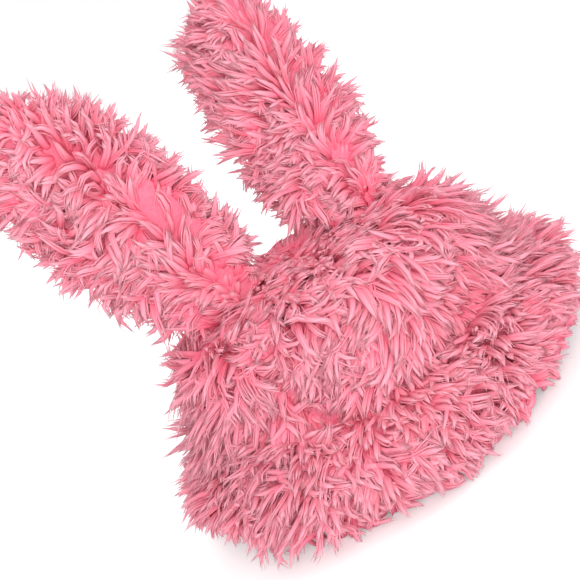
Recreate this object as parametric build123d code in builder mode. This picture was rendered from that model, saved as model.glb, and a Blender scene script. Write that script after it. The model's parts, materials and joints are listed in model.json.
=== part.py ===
from build123d import *
import os
from math import cos, radians, sin, sqrt, tan

# A shaggy faux-fur bucket hat with two rabbit ears sewn on its crown.
# Millimetres, +Z up. The hat stands on its brim at z = 0, its face looks along -Y,
# and the axis of the crown is the Z axis. "Shell" is the surface where the fur's
# backing meets the wadding under it; thicknesses are counted from there.

# Crown and brim, on the shell
joint_half_x, joint_half_y = 100.0, 92.0  # where crown and brim are sewn together
tip_half_x, tip_half_y = 88.0, 78.0  # the round top panel
band_height = 76.0  # crown joint to top panel
brim_width = 58.0
brim_slope_side, brim_slope_front = 20.0, 40.0  # degrees below level

# Cloth
backing = 1.2  # knitted backing of the fur
tip_pile, band_pile, brim_pile = 12.0, 22.0, 15.0  # firm part of the pile
rim_overhang = 14.0  # pile standing out past the brim's edge
rim_drop = 15.5  # pile hanging below the brim's edge, down to the floor
rim_roll = 8.0  # height over which the overhanging pile rounds off
pile_parting = 1.0  # between the crown's pile and the brim's
band_foot_share, band_foot_rise = 0.62, 9.0  # of the band's pile, where the brim's meets it
band_top_share, band_top_drop, band_top_rise = 0.72, 6.0, 4.0  # where it rounds over the top
brim_foot_share, brim_foot, brim_full = 0.55, 4.0, 16.0  # how the brim's pile starts
tip_flare = 5.0  # the top panel's pile leans out by this much
wadding = 3.0
lining = 0.8
facing = 0.8
layer_gap = 0.3  # between layers and along seams
sweatband_height, sweatband_thickness = 30.0, 0.9
label_width, label_drop, label_thickness = 24.0, 16.0, 0.6

# Ears
ear_spacing = 113.0  # between the middles of the two base seams
ear_back_set = 5.0  # behind the crown's axis
ear_length = 206.0
ear_base_half, ear_wide_half = 23.0, 33.0
ear_widest_at = 0.52  # share of the length
ear_core_half = 4.5  # half the stuffed thickness
ear_base_core_half = 2.4
ear_pile, ear_base_pile = 15.0, 1.6
ear_edge_pile, ear_base_edge_pile = 16.0, 5.0
ear_taper_length = 75.0  # over which the pinched base fills out
left_lean_out, left_lean_back, left_twist = 15.0, 3.0, 3.0  # degrees
right_lean_out, right_lean_back, right_twist = 11.0, 35.0, 20.0
hinge_height = 5.0  # base seam above the top panel's backing
ear_clearance = 0.3
ear_swing = 62.0  # degrees from upright that the pile leaves free
patch_radius, patch_thickness = 26.0, 1.5
tab_thickness = 2.0
tab_half = 22.0
slit_clearance = 0.3
valley_floor_half = 14.0  # half the width of the valley left in the pile at an ear's base
wire_radius = 1.0
wire_foot = 9.0  # half the distance between the wire's two ends
wire_bend_radius = 8.0
# the wire's loop: half widths as shares of the ear's widest half width, heights of its length
wire_corners = ((0.57, 0.26), (0.66, 0.56), (0.53, 0.82), (0.22, 0.92))

# Worked out from the above
joint_height = brim_width * sin(radians(brim_slope_front)) + rim_drop
tip_height = joint_height + band_height
tip_wadding_bottom = tip_height - layer_gap - wadding
patch_top = tip_wadding_bottom - layer_gap
tip_lining_top = patch_top - patch_thickness - layer_gap
tip_lining_bottom = tip_lining_top - lining
hinge_z = tip_height + backing + hinge_height
ear_foot = tab_thickness / 2 + ear_clearance  # the ear's lower end, above the hinge line

FRONT, BACK = -180.0, 0.0
SECTIONS = 8


def ellipse_radius(half_x, half_y, angle):
    """Distance from the centre to an ellipse in the direction of an angle in degrees."""
    c, s = cos(radians(angle)), sin(radians(angle))
    return half_x * half_y / sqrt((half_y * c) ** 2 + (half_x * s) ** 2)


def wall_radius(angle, z, outside):
    """Radius of the crown's side at a height, a distance outside the shell."""
    low = ellipse_radius(joint_half_x, joint_half_y, angle)
    high = ellipse_radius(tip_half_x, tip_half_y, angle)
    lean = (low - high) / band_height
    return low - lean * (z - joint_height) + outside * sqrt(1 + lean * lean)


def brim_slope(angle):
    """Degrees below level: the brim lies flatter at the sides than in front and behind."""
    side = abs(cos(radians(angle))) ** 3
    return brim_slope_front + (brim_slope_side - brim_slope_front) * side


def brim_point(angle, along, above):
    """Point of the radial section, a distance down the brim and a height square to it."""
    slope = radians(brim_slope(angle))
    r = ellipse_radius(joint_half_x, joint_half_y, angle)
    r += along * cos(slope) + above * sin(slope)
    return r, joint_height - along * sin(slope) + above * cos(slope)


def radial_plane(angle):
    """Upright plane through the Z axis: its x runs outwards and its y upwards."""
    outwards = Vector(1, 0, 0).rotate(Axis.Z, angle)
    return Plane(origin=(0, 0, 0), x_dir=outwards, z_dir=outwards.cross(Vector(0, 0, 1)))


def half_ring(outline, start, seam_gap=layer_gap):
    """Half a turn of a ring, lofted through the closed outlines outline(angle)."""
    edge = seam_gap / 2 / joint_half_x * 57.3
    with BuildPart() as half:
        for i in range(SECTIONS + 1):
            angle = start + edge + (180 - 2 * edge) * i / SECTIONS
            with BuildSketch(radial_plane(angle)):
                with BuildLine():
                    Polyline(*outline(angle), close=True)
                make_face()
        loft()
    return half.part


def band_outline(inner, outer, bottom, top):
    """Outline function of a layer of the crown's side between two heights."""

    def outline(angle):
        return (
            (wall_radius(angle, bottom, inner), bottom),
            (wall_radius(angle, bottom, outer), bottom),
            (wall_radius(angle, top, outer), top),
            (wall_radius(angle, top, inner), top),
        )

    return outline


def brim_outline(lower, upper, start, end):
    """Outline function of a layer of the brim between two distances from the joint."""

    def outline(angle):
        return (
            brim_point(angle, start, lower),
            brim_point(angle, end, lower),
            brim_point(angle, end, upper),
            brim_point(angle, start, upper),
        )

    return outline


def band_fur_outline(angle):
    """Backing and pile of the crown's side; the pile is mitred against the brim's pile."""
    foot = joint_height + backing + layer_gap
    parting = joint_height + brim_pile * cos(radians(brim_slope(angle))) + backing + pile_parting
    full = backing + band_pile
    stops = (
        (foot, 0),
        (parting, full * band_foot_share),
        (parting + band_foot_rise, full),
        (tip_height - band_top_drop, full),
        (tip_height + band_top_rise, full * band_top_share),
        (tip_height - layer_gap, 0),
    )
    return [(wall_radius(angle, z, outside), z) for z, outside in stops]


def brim_fur_outline(angle):
    """Backing and pile of the brim's upper side, hanging over the edge to the floor."""
    full = backing + brim_pile
    edge_r, edge_z = brim_point(angle, brim_width, 0)
    bottom = edge_z - rim_drop
    return (
        brim_point(angle, layer_gap, 0),
        (edge_r, edge_z),
        (edge_r + layer_gap, bottom),
        (edge_r + rim_overhang * 0.75, bottom),
        (edge_r + rim_overhang, bottom + rim_roll),
        brim_point(angle, brim_width, full),
        brim_point(angle, brim_full, full),
        brim_point(angle, brim_foot, full * brim_foot_share),
    )


def ear_frame(side, lean_back, twist):
    """Plane at an ear's base seam: x along the seam, z up the ear, y towards its back."""
    seam = Vector(1, 0, 0).rotate(Axis.Z, twist)
    up = Vector(0, 0, 1).rotate(Axis((0, 0, 0), seam), -lean_back)
    return Plane(origin=(side * ear_spacing / 2, ear_back_set, hinge_z), x_dir=seam, z_dir=up)


def ear_half_width(s):
    """Half the ear's width on its seam: it widens smoothly, then closes in an ellipse."""
    peak = ear_widest_at * ear_length
    if s < peak:
        return ear_base_half + (ear_wide_half - ear_base_half) * sin(radians(90 * s / peak)) ** 1.3
    return ear_wide_half * max(1 - ((s - peak) / (ear_length - peak)) ** 2.6, 0) ** 0.5


def fill_out(s, at_base, full):
    """A measure that grows from the pinched base to its full value along the ear."""
    t = min(s / ear_taper_length, 1)
    return at_base + (full - at_base) * t * t * (3 - 2 * t)


def ear_solid(frame, lean, pile=False, inset=0.0):
    """Oval sections up an ear: its stuffed core, that far inside it, or the core and the pile."""
    tip = ear_length + (ear_edge_pile if pile else 0)
    shoulder = 0.86 * ear_length  # from here the sections close to the tip
    stations = [ear_foot] + [share * ear_length for share in (0.12, 0.24, 0.38, 0.52, 0.66, 0.78)]
    stations += [shoulder, tip - 18, tip - 8, tip - 2, tip]
    with BuildPart() as body:
        for s in stations:
            on_seam = s * ear_length / tip if s > shoulder else s
            half = ear_half_width(min(on_seam, ear_length - 0.4))
            closing = sqrt(max(1 - max((s - shoulder) / (tip - shoulder), 0) ** 2, 0.012))
            edge = fill_out(s, ear_base_edge_pile, ear_edge_pile) if pile else -inset
            face = fill_out(s, ear_base_pile, ear_pile) if pile else -inset
            core = fill_out(s, ear_base_core_half, ear_core_half)
            with BuildSketch(frame.offset(s)):
                with Locations((lean * s, 0)):
                    Ellipse(half + edge * closing, (core + face) * closing)
        loft()
    return body.part


def ear_wire(frame, lean, radius):
    """A round rod along the loop of wire inside an ear, from one foot round to the other."""
    upright = Plane(origin=frame.origin, x_dir=frame.x_dir, z_dir=-frame.y_dir)
    corners = [(wire_foot, ear_foot + wire_radius)]
    corners += [(x * ear_wide_half, s * ear_length) for x, s in wire_corners]
    loop = [(-x, s) for x, s in corners] + [(x, s) for x, s in reversed(corners)]
    with BuildPart() as rod:
        with BuildLine(upright):
            path = FilletPolyline(*[(x + lean * s, s) for x, s in loop], radius=wire_bend_radius)
        with BuildSketch(Plane(origin=path @ 0, z_dir=path % 0)):
            Circle(radius)
        sweep()
    return rod.part


def ear_valley(side, twist):
    """The room in the pile that one ear's base swings in, open at the top."""
    base = ear_frame(side, 0, twist)
    across = Plane(origin=base.origin, x_dir=base.y_dir, z_dir=base.x_dir)
    rise = backing + tip_pile + valley_floor_half
    open_half = valley_floor_half + rise * tan(radians(ear_swing))
    with BuildPart() as valley:
        with BuildSketch(across):
            with BuildLine():
                Polyline(
                    (-valley_floor_half, -hinge_height), (valley_floor_half, -hinge_height),
                    (open_half, rise - hinge_height), (-open_half, rise - hinge_height),
                    close=True,
                )
            make_face()
        extrude(amount=ear_base_half + ear_base_edge_pile + tip_pile, both=True)
    return valley.part


def tab_slit(side, twist):
    """The slit that an ear's sewn-in tab comes up through."""
    base = ear_frame(side, 0, twist)
    with BuildPart() as slit:
        with BuildSketch(Plane(origin=base.origin, x_dir=base.x_dir, z_dir=(0, 0, 1))):
            Rectangle(2 * (tab_half + slit_clearance), tab_thickness + 2 * slit_clearance)
        extrude(amount=-(hinge_height + backing + wadding + 2))
    return slit.part


# ---------------------------------------------------------------- crown, outer fur

with BuildPart() as ear_room:
    for side, twist in ((-1, left_twist), (1, right_twist)):
        add(ear_valley(side, twist))
        add(tab_slit(side, twist))

with BuildPart() as crown_tip_fur:
    with BuildSketch(Plane.XY.offset(tip_height)):
        Ellipse(tip_half_x - layer_gap, tip_half_y - layer_gap)
    with BuildSketch(Plane.XY.offset(tip_height + backing + tip_pile)):
        Ellipse(tip_half_x + tip_flare, tip_half_y + tip_flare)
    loft()
    add(ear_room.part, mode=Mode.SUBTRACT)

with BuildPart() as crown_band_front_fur:
    add(half_ring(band_fur_outline, FRONT))
    add(ear_room.part, mode=Mode.SUBTRACT)

with BuildPart() as crown_band_back_fur:
    add(half_ring(band_fur_outline, BACK))
    add(ear_room.part, mode=Mode.SUBTRACT)

# ---------------------------------------------------------------- crown, inside

with BuildPart() as crown_tip_wadding:
    with BuildSketch(Plane.XY.offset(tip_wadding_bottom)):
        Ellipse(tip_half_x - 1, tip_half_y - 1)
    extrude(amount=wadding)
    add(ear_room.part, mode=Mode.SUBTRACT)

band_wadding_top = tip_wadding_bottom - layer_gap
band_wadding_outline = band_outline(
    -wadding - layer_gap, -layer_gap, joint_height, band_wadding_top
)
with BuildPart() as crown_band_wadding:
    add(half_ring(band_wadding_outline, FRONT, 0))
    add(half_ring(band_wadding_outline, BACK, 0))

lining_inner = -wadding - lining - 2 * layer_gap
lining_outer = lining_inner + lining
with BuildPart() as crown_tip_lining:
    with BuildSketch(Plane.XY.offset(tip_lining_bottom)):
        Ellipse(tip_half_x + lining_outer - 0.5, tip_half_y + lining_outer - 0.5)
    extrude(amount=lining)

band_lining_outline = band_outline(
    lining_inner, lining_outer, joint_height, tip_lining_bottom - layer_gap
)
with BuildPart() as crown_band_front_lining:
    add(half_ring(band_lining_outline, FRONT))

with BuildPart() as crown_band_back_lining:
    add(half_ring(band_lining_outline, BACK))

sweatband_outer = lining_inner - layer_gap
sweatband_outline = band_outline(
    sweatband_outer - sweatband_thickness, sweatband_outer,
    joint_height, joint_height + sweatband_height,
)
with BuildPart() as sweatband:
    add(half_ring(sweatband_outline, FRONT, 0))
    add(half_ring(sweatband_outline, BACK, 0))

label_top = joint_height + sweatband_height - 2
sweatband_inner = sweatband_outer - sweatband_thickness
label_back = wall_radius(90, label_top, sweatband_inner)
# the label is flat, so its two edges come nearest to the curved band
label_bow = 1 - sqrt(1 - (label_width / 2 / wall_radius(0, label_top, sweatband_inner)) ** 2)
with BuildPart() as care_label:
    with BuildSketch(Plane.XY.offset(label_top)):
        with Locations((0, label_back * (1 - label_bow) - layer_gap - label_thickness / 2)):
            Rectangle(label_width, label_thickness)
    extrude(amount=-label_drop)

# ---------------------------------------------------------------- brim

with BuildPart() as brim_top_front_fur:
    add(half_ring(brim_fur_outline, FRONT))

with BuildPart() as brim_top_back_fur:
    add(half_ring(brim_fur_outline, BACK))

foam_upper = -layer_gap
foam_lower = foam_upper - wadding
brim_foam_outline = brim_outline(foam_lower, foam_upper, 2.5, brim_width - 1)
with BuildPart() as brim_foam:
    add(half_ring(brim_foam_outline, FRONT, 0))
    add(half_ring(brim_foam_outline, BACK, 0))

facing_upper = foam_lower - layer_gap
brim_facing_outline = brim_outline(facing_upper - facing, facing_upper, 0, brim_width - 0.5)
with BuildPart() as brim_under_front_facing:
    add(half_ring(brim_facing_outline, FRONT))

with BuildPart() as brim_under_back_facing:
    add(half_ring(brim_facing_outline, BACK))

parts = {
    "crown_tip_fur": crown_tip_fur,
    "crown_band_front_fur": crown_band_front_fur,
    "crown_band_back_fur": crown_band_back_fur,
    "crown_tip_wadding": crown_tip_wadding,
    "crown_band_wadding": crown_band_wadding,
    "crown_tip_lining": crown_tip_lining,
    "crown_band_front_lining": crown_band_front_lining,
    "crown_band_back_lining": crown_band_back_lining,
    "sweatband": sweatband,
    "care_label": care_label,
    "brim_top_front_fur": brim_top_front_fur,
    "brim_top_back_fur": brim_top_back_fur,
    "brim_foam": brim_foam,
    "brim_under_front_facing": brim_under_front_facing,
    "brim_under_back_facing": brim_under_back_facing,
}

# ---------------------------------------------------------------- ears

EARS = (
    ("left", -1, -tan(radians(left_lean_out)), left_lean_back, left_twist),
    ("right", 1, tan(radians(right_lean_out)), right_lean_back, right_twist),
)
for name, side, lean, lean_back, twist in EARS:
    frame = ear_frame(side, lean_back, twist)
    outer = ear_solid(frame, lean, pile=True)
    core = ear_solid(frame, lean)
    seam_plane = Plane(origin=frame.origin, x_dir=frame.x_dir, z_dir=frame.y_dir)

    with BuildPart() as front_fur:
        add(outer)
        add(core, mode=Mode.SUBTRACT)
        split(bisect_by=seam_plane.offset(-layer_gap / 2), keep=Keep.BOTTOM)

    with BuildPart() as back_fur:
        add(outer)
        add(core, mode=Mode.SUBTRACT)
        split(bisect_by=seam_plane.offset(layer_gap / 2), keep=Keep.TOP)

    with BuildPart() as wire:
        add(ear_wire(frame, lean, wire_radius))

    with BuildPart() as ear_wadding:
        add(ear_solid(frame, lean, inset=layer_gap))
        add(ear_wire(frame, lean, wire_radius + slit_clearance), mode=Mode.SUBTRACT)

    # Felt patch under the crown with the folded tab that the ear is sewn to. The tab's
    # rounded top lies on the seam that the ear bends about.
    base = ear_frame(side, 0, twist)
    with BuildPart() as anchor_patch:
        with BuildSketch(Plane.XY.offset(patch_top)):
            with Locations((base.origin.X, base.origin.Y)):
                Circle(patch_radius)
        extrude(amount=-patch_thickness)
        with BuildSketch(Plane(origin=base.origin, x_dir=base.x_dir, z_dir=(0, 0, 1))):
            Rectangle(2 * tab_half, tab_thickness)
        extrude(amount=patch_top - patch_thickness / 2 - hinge_z)
        with BuildSketch(Plane(origin=base.origin, x_dir=base.y_dir, z_dir=base.x_dir)):
            Circle(tab_thickness / 2)
        extrude(amount=tab_half, both=True)

    parts[f"ear_{name}_front_fur"] = front_fur
    parts[f"ear_{name}_back_fur"] = back_fur
    parts[f"ear_{name}_wadding"] = ear_wadding
    parts[f"ear_{name}_wire"] = wire
    parts[f"ear_{name}_anchor_patch"] = anchor_patch

os.makedirs("parts", exist_ok=True)
for name, builder in parts.items():
    builder.part.label = name
    export_step(builder.part, f"parts/{name}.step")
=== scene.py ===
import json

import bmesh
import bpy
import numpy as np
from mathutils import Matrix, Vector


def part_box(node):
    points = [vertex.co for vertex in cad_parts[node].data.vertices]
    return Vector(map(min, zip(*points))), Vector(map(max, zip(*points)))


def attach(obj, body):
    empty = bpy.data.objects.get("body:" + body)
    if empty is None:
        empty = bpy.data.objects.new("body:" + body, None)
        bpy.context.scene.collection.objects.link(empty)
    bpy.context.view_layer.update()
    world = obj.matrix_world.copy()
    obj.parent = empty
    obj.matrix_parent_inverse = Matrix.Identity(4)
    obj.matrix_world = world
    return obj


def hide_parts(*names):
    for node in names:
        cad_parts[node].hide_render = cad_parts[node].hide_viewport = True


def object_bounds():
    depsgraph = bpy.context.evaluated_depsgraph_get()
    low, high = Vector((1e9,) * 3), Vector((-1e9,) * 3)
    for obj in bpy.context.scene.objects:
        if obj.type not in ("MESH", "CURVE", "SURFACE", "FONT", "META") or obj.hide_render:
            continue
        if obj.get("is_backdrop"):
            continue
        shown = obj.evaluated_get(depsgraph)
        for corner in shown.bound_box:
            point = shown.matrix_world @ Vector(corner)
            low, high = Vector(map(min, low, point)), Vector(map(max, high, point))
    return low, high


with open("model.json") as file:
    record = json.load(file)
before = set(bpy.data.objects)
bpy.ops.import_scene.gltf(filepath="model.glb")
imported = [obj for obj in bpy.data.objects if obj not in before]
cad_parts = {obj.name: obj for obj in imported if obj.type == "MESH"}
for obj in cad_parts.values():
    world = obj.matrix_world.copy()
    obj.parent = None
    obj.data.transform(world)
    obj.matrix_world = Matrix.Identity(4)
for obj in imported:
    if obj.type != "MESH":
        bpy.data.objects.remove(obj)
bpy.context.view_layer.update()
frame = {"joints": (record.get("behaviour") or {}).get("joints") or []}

# ---------------------------------------------------------------- camera
# A long lens in front of the hat and a little above it, rolled so that the crown's
# axis leans to the upper left of the frame.
azimuth, elevation, roll = np.radians((-7.18, 20.22, 35.17))
distance = 0.9745
middle = np.array((0.0, 0.0, 0.1))
right = np.array((np.cos(azimuth), np.sin(azimuth), 0.0))
behind = np.array(
    (np.sin(azimuth) * np.cos(elevation), -np.cos(azimuth) * np.cos(elevation), np.sin(elevation))
)
above = np.cross(behind, right)
eye = middle + distance * behind
aim = middle - 0.0180 * right + 0.0240 * above

backwards = (eye - aim) / np.linalg.norm(eye - aim)
level = np.cross((0.0, 0.0, 1.0), backwards)
level /= np.linalg.norm(level)
upright = np.cross(backwards, level)
camera = bpy.data.objects.new("camera", bpy.data.cameras.new("camera"))
camera.data.sensor_width = 36.0
camera.data.lens = 84.0
camera.data.clip_end = 20.0
across_frame = np.cos(roll) * level - np.sin(roll) * upright
up_frame = np.sin(roll) * level + np.cos(roll) * upright
stand = np.eye(4)
stand[:3] = np.column_stack((across_frame, up_frame, backwards, eye))
camera.matrix_world = Matrix(stand)
bpy.context.scene.collection.objects.link(camera)
bpy.context.scene.camera = camera
bpy.context.scene.view_settings.view_transform = "Standard"

# ---------------------------------------------------------------- studio
# A pale floor under a white sky. One large soft lamp stands in front of the hat, and two
# weaker ones at its +X side and behind it.


class Value:
    """A number socket of a node tree, on which Python's operators add Math nodes."""

    def __init__(self, tree, socket):
        self.tree, self.socket = tree, socket

    def math(self, operation, first, second=None):
        node = self.tree.nodes.new("ShaderNodeMath")
        node.operation = operation
        for place, given in enumerate((first, second)):
            if isinstance(given, Value):
                self.tree.links.new(given.socket, node.inputs[place])
            elif given is not None:
                node.inputs[place].default_value = given
        return Value(self.tree, node.outputs[0])

    def __add__(self, other):
        return self.math("ADD", self, other)

    def __radd__(self, other):
        return self.math("ADD", other, self)

    def __sub__(self, other):
        return self.math("SUBTRACT", self, other)

    def __rsub__(self, other):
        return self.math("SUBTRACT", other, self)

    def __mul__(self, other):
        return self.math("MULTIPLY", self, other)

    def __rmul__(self, other):
        return self.math("MULTIPLY", other, self)

    def __pow__(self, other):
        return self.math("POWER", self, other)


class Finish:
    """A material, or the world, whose nodes are added one by one."""

    def __init__(self, owner):
        self.owner = owner
        owner.use_nodes = True
        self.tree = owner.node_tree
        self.tree.nodes.clear()

    def node(self, kind, settings=None, **sockets):
        """Adds a node: its settings first, then its sockets' values or links, by name with _ for a space."""
        node = self.tree.nodes.new("ShaderNode" + kind)
        for name, given in (settings or {}).items():
            if name == "stops":
                ramp = node.color_ramp
                while len(ramp.elements) < len(given):
                    ramp.elements.new(0.5)
                for element, (place, colour) in zip(ramp.elements, given):
                    element.position, element.color = place, (*colour, 1.0)
            else:
                setattr(node, name, given)
        for name, given in sockets.items():
            wanted = name.replace("_", " ")
            socket = next(s for s in node.inputs if s.enabled and s.name == wanted)
            if isinstance(given, Value):
                self.tree.links.new(given.socket, socket)
            else:
                socket.default_value = given
        return node

    def value(self, kind, settings=None, output=0, **sockets):
        """The same, giving one of the node's outputs."""
        return Value(self.tree, self.node(kind, settings, **sockets).outputs[output])

    def chart(self):
        """The two directions of a piece's own map."""
        axes = self.node("SeparateXYZ", Vector=self.value("UVMap", {"uv_map": "OFBake"}))
        return [Value(self.tree, axes.outputs[i]) for i in (0, 1)]

    def surface(self, shader):
        """Ends a material's tree with its shader node."""
        self.tree.links.new(shader.outputs[0], self.node("OutputMaterial").inputs["Surface"])


def colour(hexadecimal):
    """Linear colour of a screen colour written as six hexadecimal digits."""
    screen = np.array([int(hexadecimal[i : i + 2], 16) for i in (0, 2, 4)]) / 255
    return tuple(np.where(screen <= 0.04045, screen / 12.92, ((screen + 0.055) / 1.055) ** 2.4))


def put_in(piece):
    """Puts a new object into the scene."""
    bpy.context.scene.collection.objects.link(piece)
    return piece


SKY_LIGHT = 0.80
sky = Finish(bpy.context.scene.world or bpy.data.worlds.new("sky"))
bpy.context.scene.world = sky.owner
ray = sky.node("LightPath")
seen = Value(sky.tree, ray.outputs["Is Camera Ray"])
seen = seen.math("MAXIMUM", seen, Value(sky.tree, ray.outputs["Is Glossy Ray"]))
seen = seen.math("MAXIMUM", seen, Value(sky.tree, ray.outputs["Is Transmission Ray"]))
light = sky.value("Background", Color=(1, 1, 1, 1), Strength=seen * (1 - SKY_LIGHT) + SKY_LIGHT)
sky.tree.links.new(light.socket, sky.node("OutputWorld").inputs["Surface"])

for name, place, size, power in (
    ("key_lamp", (-0.20, -1.75, 0.75), 1.2, 22.0),
    ("fill_lamp", (1.35, -0.7, 0.9), 1.4, 4.0),
    ("back_lamp", (0.3, 1.5, 1.1), 1.2, 10.0),
):
    lamp = put_in(bpy.data.objects.new(name, bpy.data.lights.new(name, "AREA")))
    lamp.data.shape, lamp.data.size, lamp.data.energy = "DISK", size, power
    lamp.location = place
    lamp.rotation_euler = Vector(middle - np.array(place)).to_track_quat("-Z", "Y").to_euler()

floor_mesh = bpy.data.meshes.new("floor")
far = 4.0
floor_mesh.from_pydata([(-far, -far, 0), (far, -far, 0), (far, far, 0), (-far, far, 0)], [], [(0, 1, 2, 3)])
floor = put_in(bpy.data.objects.new("floor", floor_mesh))
paper = Finish(bpy.data.materials.new("floor_paper"))
ray = paper.node("LightPath")
seen = Value(paper.tree, ray.outputs["Is Camera Ray"])
cloudy = paper.value("TexNoise", {"noise_dimensions": "3D"}, Scale=3.0, Detail=2.0)
grey = paper.value(
    "ValToRGB", {"stops": [(0.3, (0.90, 0.90, 0.90)), (0.7, (0.93, 0.93, 0.93))]}, Fac=cloudy
)
matte = paper.value("BsdfDiffuse", Color=grey)
glow = paper.value("Emission", Color=(1, 1, 1, 1), Strength=seen * 0.28)
both = paper.node("AddShader")
paper.tree.links.new(matte.socket, both.inputs[0])
paper.tree.links.new(glow.socket, both.inputs[1])
paper.surface(both)
floor_mesh.materials.append(paper.owner)
floor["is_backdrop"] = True

# ---------------------------------------------------------------- crown, side band of fur
# Two halves of long-pile faux fur, front and back, seamed at the sides. A knitted
# backing carries the pile: combed down over the face into a parting, and out at the sides.


def mesh_piece(name, points, faces, corners, uv, material):
    """A mesh object from arrays: points, faces' corner numbers, each face's corner count, corner UVs."""
    mesh = bpy.data.meshes.new(name)
    mesh.vertices.add(len(points))
    mesh.vertices.foreach_set("co", np.ascontiguousarray(points, np.float32).ravel())
    mesh.loops.add(len(faces))
    mesh.loops.foreach_set("vertex_index", np.ascontiguousarray(faces, np.int32))
    mesh.polygons.add(len(corners))
    starts = np.concatenate(([0], np.cumsum(corners)[:-1])).astype(np.int32)
    mesh.polygons.foreach_set("loop_start", starts)
    mesh.polygons.foreach_set("use_smooth", np.ones(len(corners), bool))
    if uv is not None:
        layer = mesh.uv_layers.new(name="OFBake")
        layer.data.foreach_set("uv", np.ascontiguousarray(uv, np.float32).ravel())
    mesh.update(calc_edges=True)
    mesh.validate()
    mesh.materials.append(material)
    return put_in(bpy.data.objects.new(name, mesh))


def unit(vectors):
    """Vectors divided by their lengths."""
    return vectors / np.maximum(np.linalg.norm(vectors, axis=-1, keepdims=True), 1e-12)


def drift(points, wavelength, seed):
    """Smooth random vectors, about -1 to 1: in each part, 14 sine waves in random directions, of lengths
    round the given one, added and divided by the root of their number."""
    rng = np.random.default_rng(seed)
    parts = []
    for _ in range(3):
        waves = unit(rng.normal(size=(14, 3))) * 2 * np.pi / (wavelength * rng.uniform(0.7, 1.5, (14, 1)))
        parts.append(np.sin(points @ waves.T + rng.uniform(0, 2 * np.pi, 14)).sum(-1) / 14**0.5)
    return np.stack(parts, -1)


def soft_step(low, high, values):
    """0 below low, 1 above high, and 3t^2 - 2t^3 between."""
    t = np.clip((values - low) / (high - low), 0, 1)
    return t * t * (3 - 2 * t)


RINGS = 4


def tube(points, offsets):
    """A closed tapering tube on each row of points: rings of corners round all but the last point, which is
    the tip. offsets are each corner's distance and direction from its ring's middle."""
    corners = points[:, :-1, None] + offsets
    return np.concatenate((corners.reshape(len(points), -1, 3), points[:, -1:]), axis=1)


def tube_faces(sides, u, low_v, high_v):
    """Corner numbers, face sizes and map places of one such tube: u runs up it and v round it."""
    k, s = np.arange(RINGS - 1)[:, None] * sides, np.arange(sides)[None, :]
    n = (s + 1) % sides
    quads = np.stack((k + s, k + n, k + sides + n, k + sides + s), -1).reshape(-1, 4)
    top = (RINGS - 1) * sides
    tips = np.stack((top + s[0], top + n[0], np.full(sides, RINGS * sides)), -1)
    faces = np.concatenate((quads.ravel(), tips.ravel(), np.arange(sides)[::-1]))
    sizes = np.concatenate((np.full(len(quads), 4), np.full(sides, 3), [sides]))
    quad_u = np.stack((u[:-2], u[:-2], u[1:-1], u[1:-1]), -1)[:, None].repeat(sides, 1)
    quad_v = np.stack((s[0], s[0] + 1, s[0] + 1, s[0]), -1)[None].repeat(RINGS - 1, 0)
    tip_u = np.tile((u[-2], u[-2], u[-1]), (sides, 1))
    tip_v = np.stack((s[0], s[0] + 1, s[0] + 0.5), -1)
    map_u = np.concatenate((quad_u.ravel(), tip_u.ravel(), np.linspace(0, 0.01, sides)))
    map_v = np.concatenate((quad_v.ravel(), tip_v.ravel(), np.arange(sides) + 0.5)) / sides
    return faces, sizes, map_u, low_v + (high_v - low_v) * map_v


# A lock's strands: corners round each, how many, half width (the tuft has the lock's own), thickness as a
# share of the width, and how much paler than the lock. The tuft under the wisps is darker: painted shade in
# the grooves between them.
TUFT, WISPS, HAIR = (5, 1, None, 0.5, -0.12), (4, 4, 0.00080, 0.8, 0.0), (3, 1, 0.0004, 1.0, 0.12)
MOST_LOCKS = 1080  # in one piece


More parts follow.
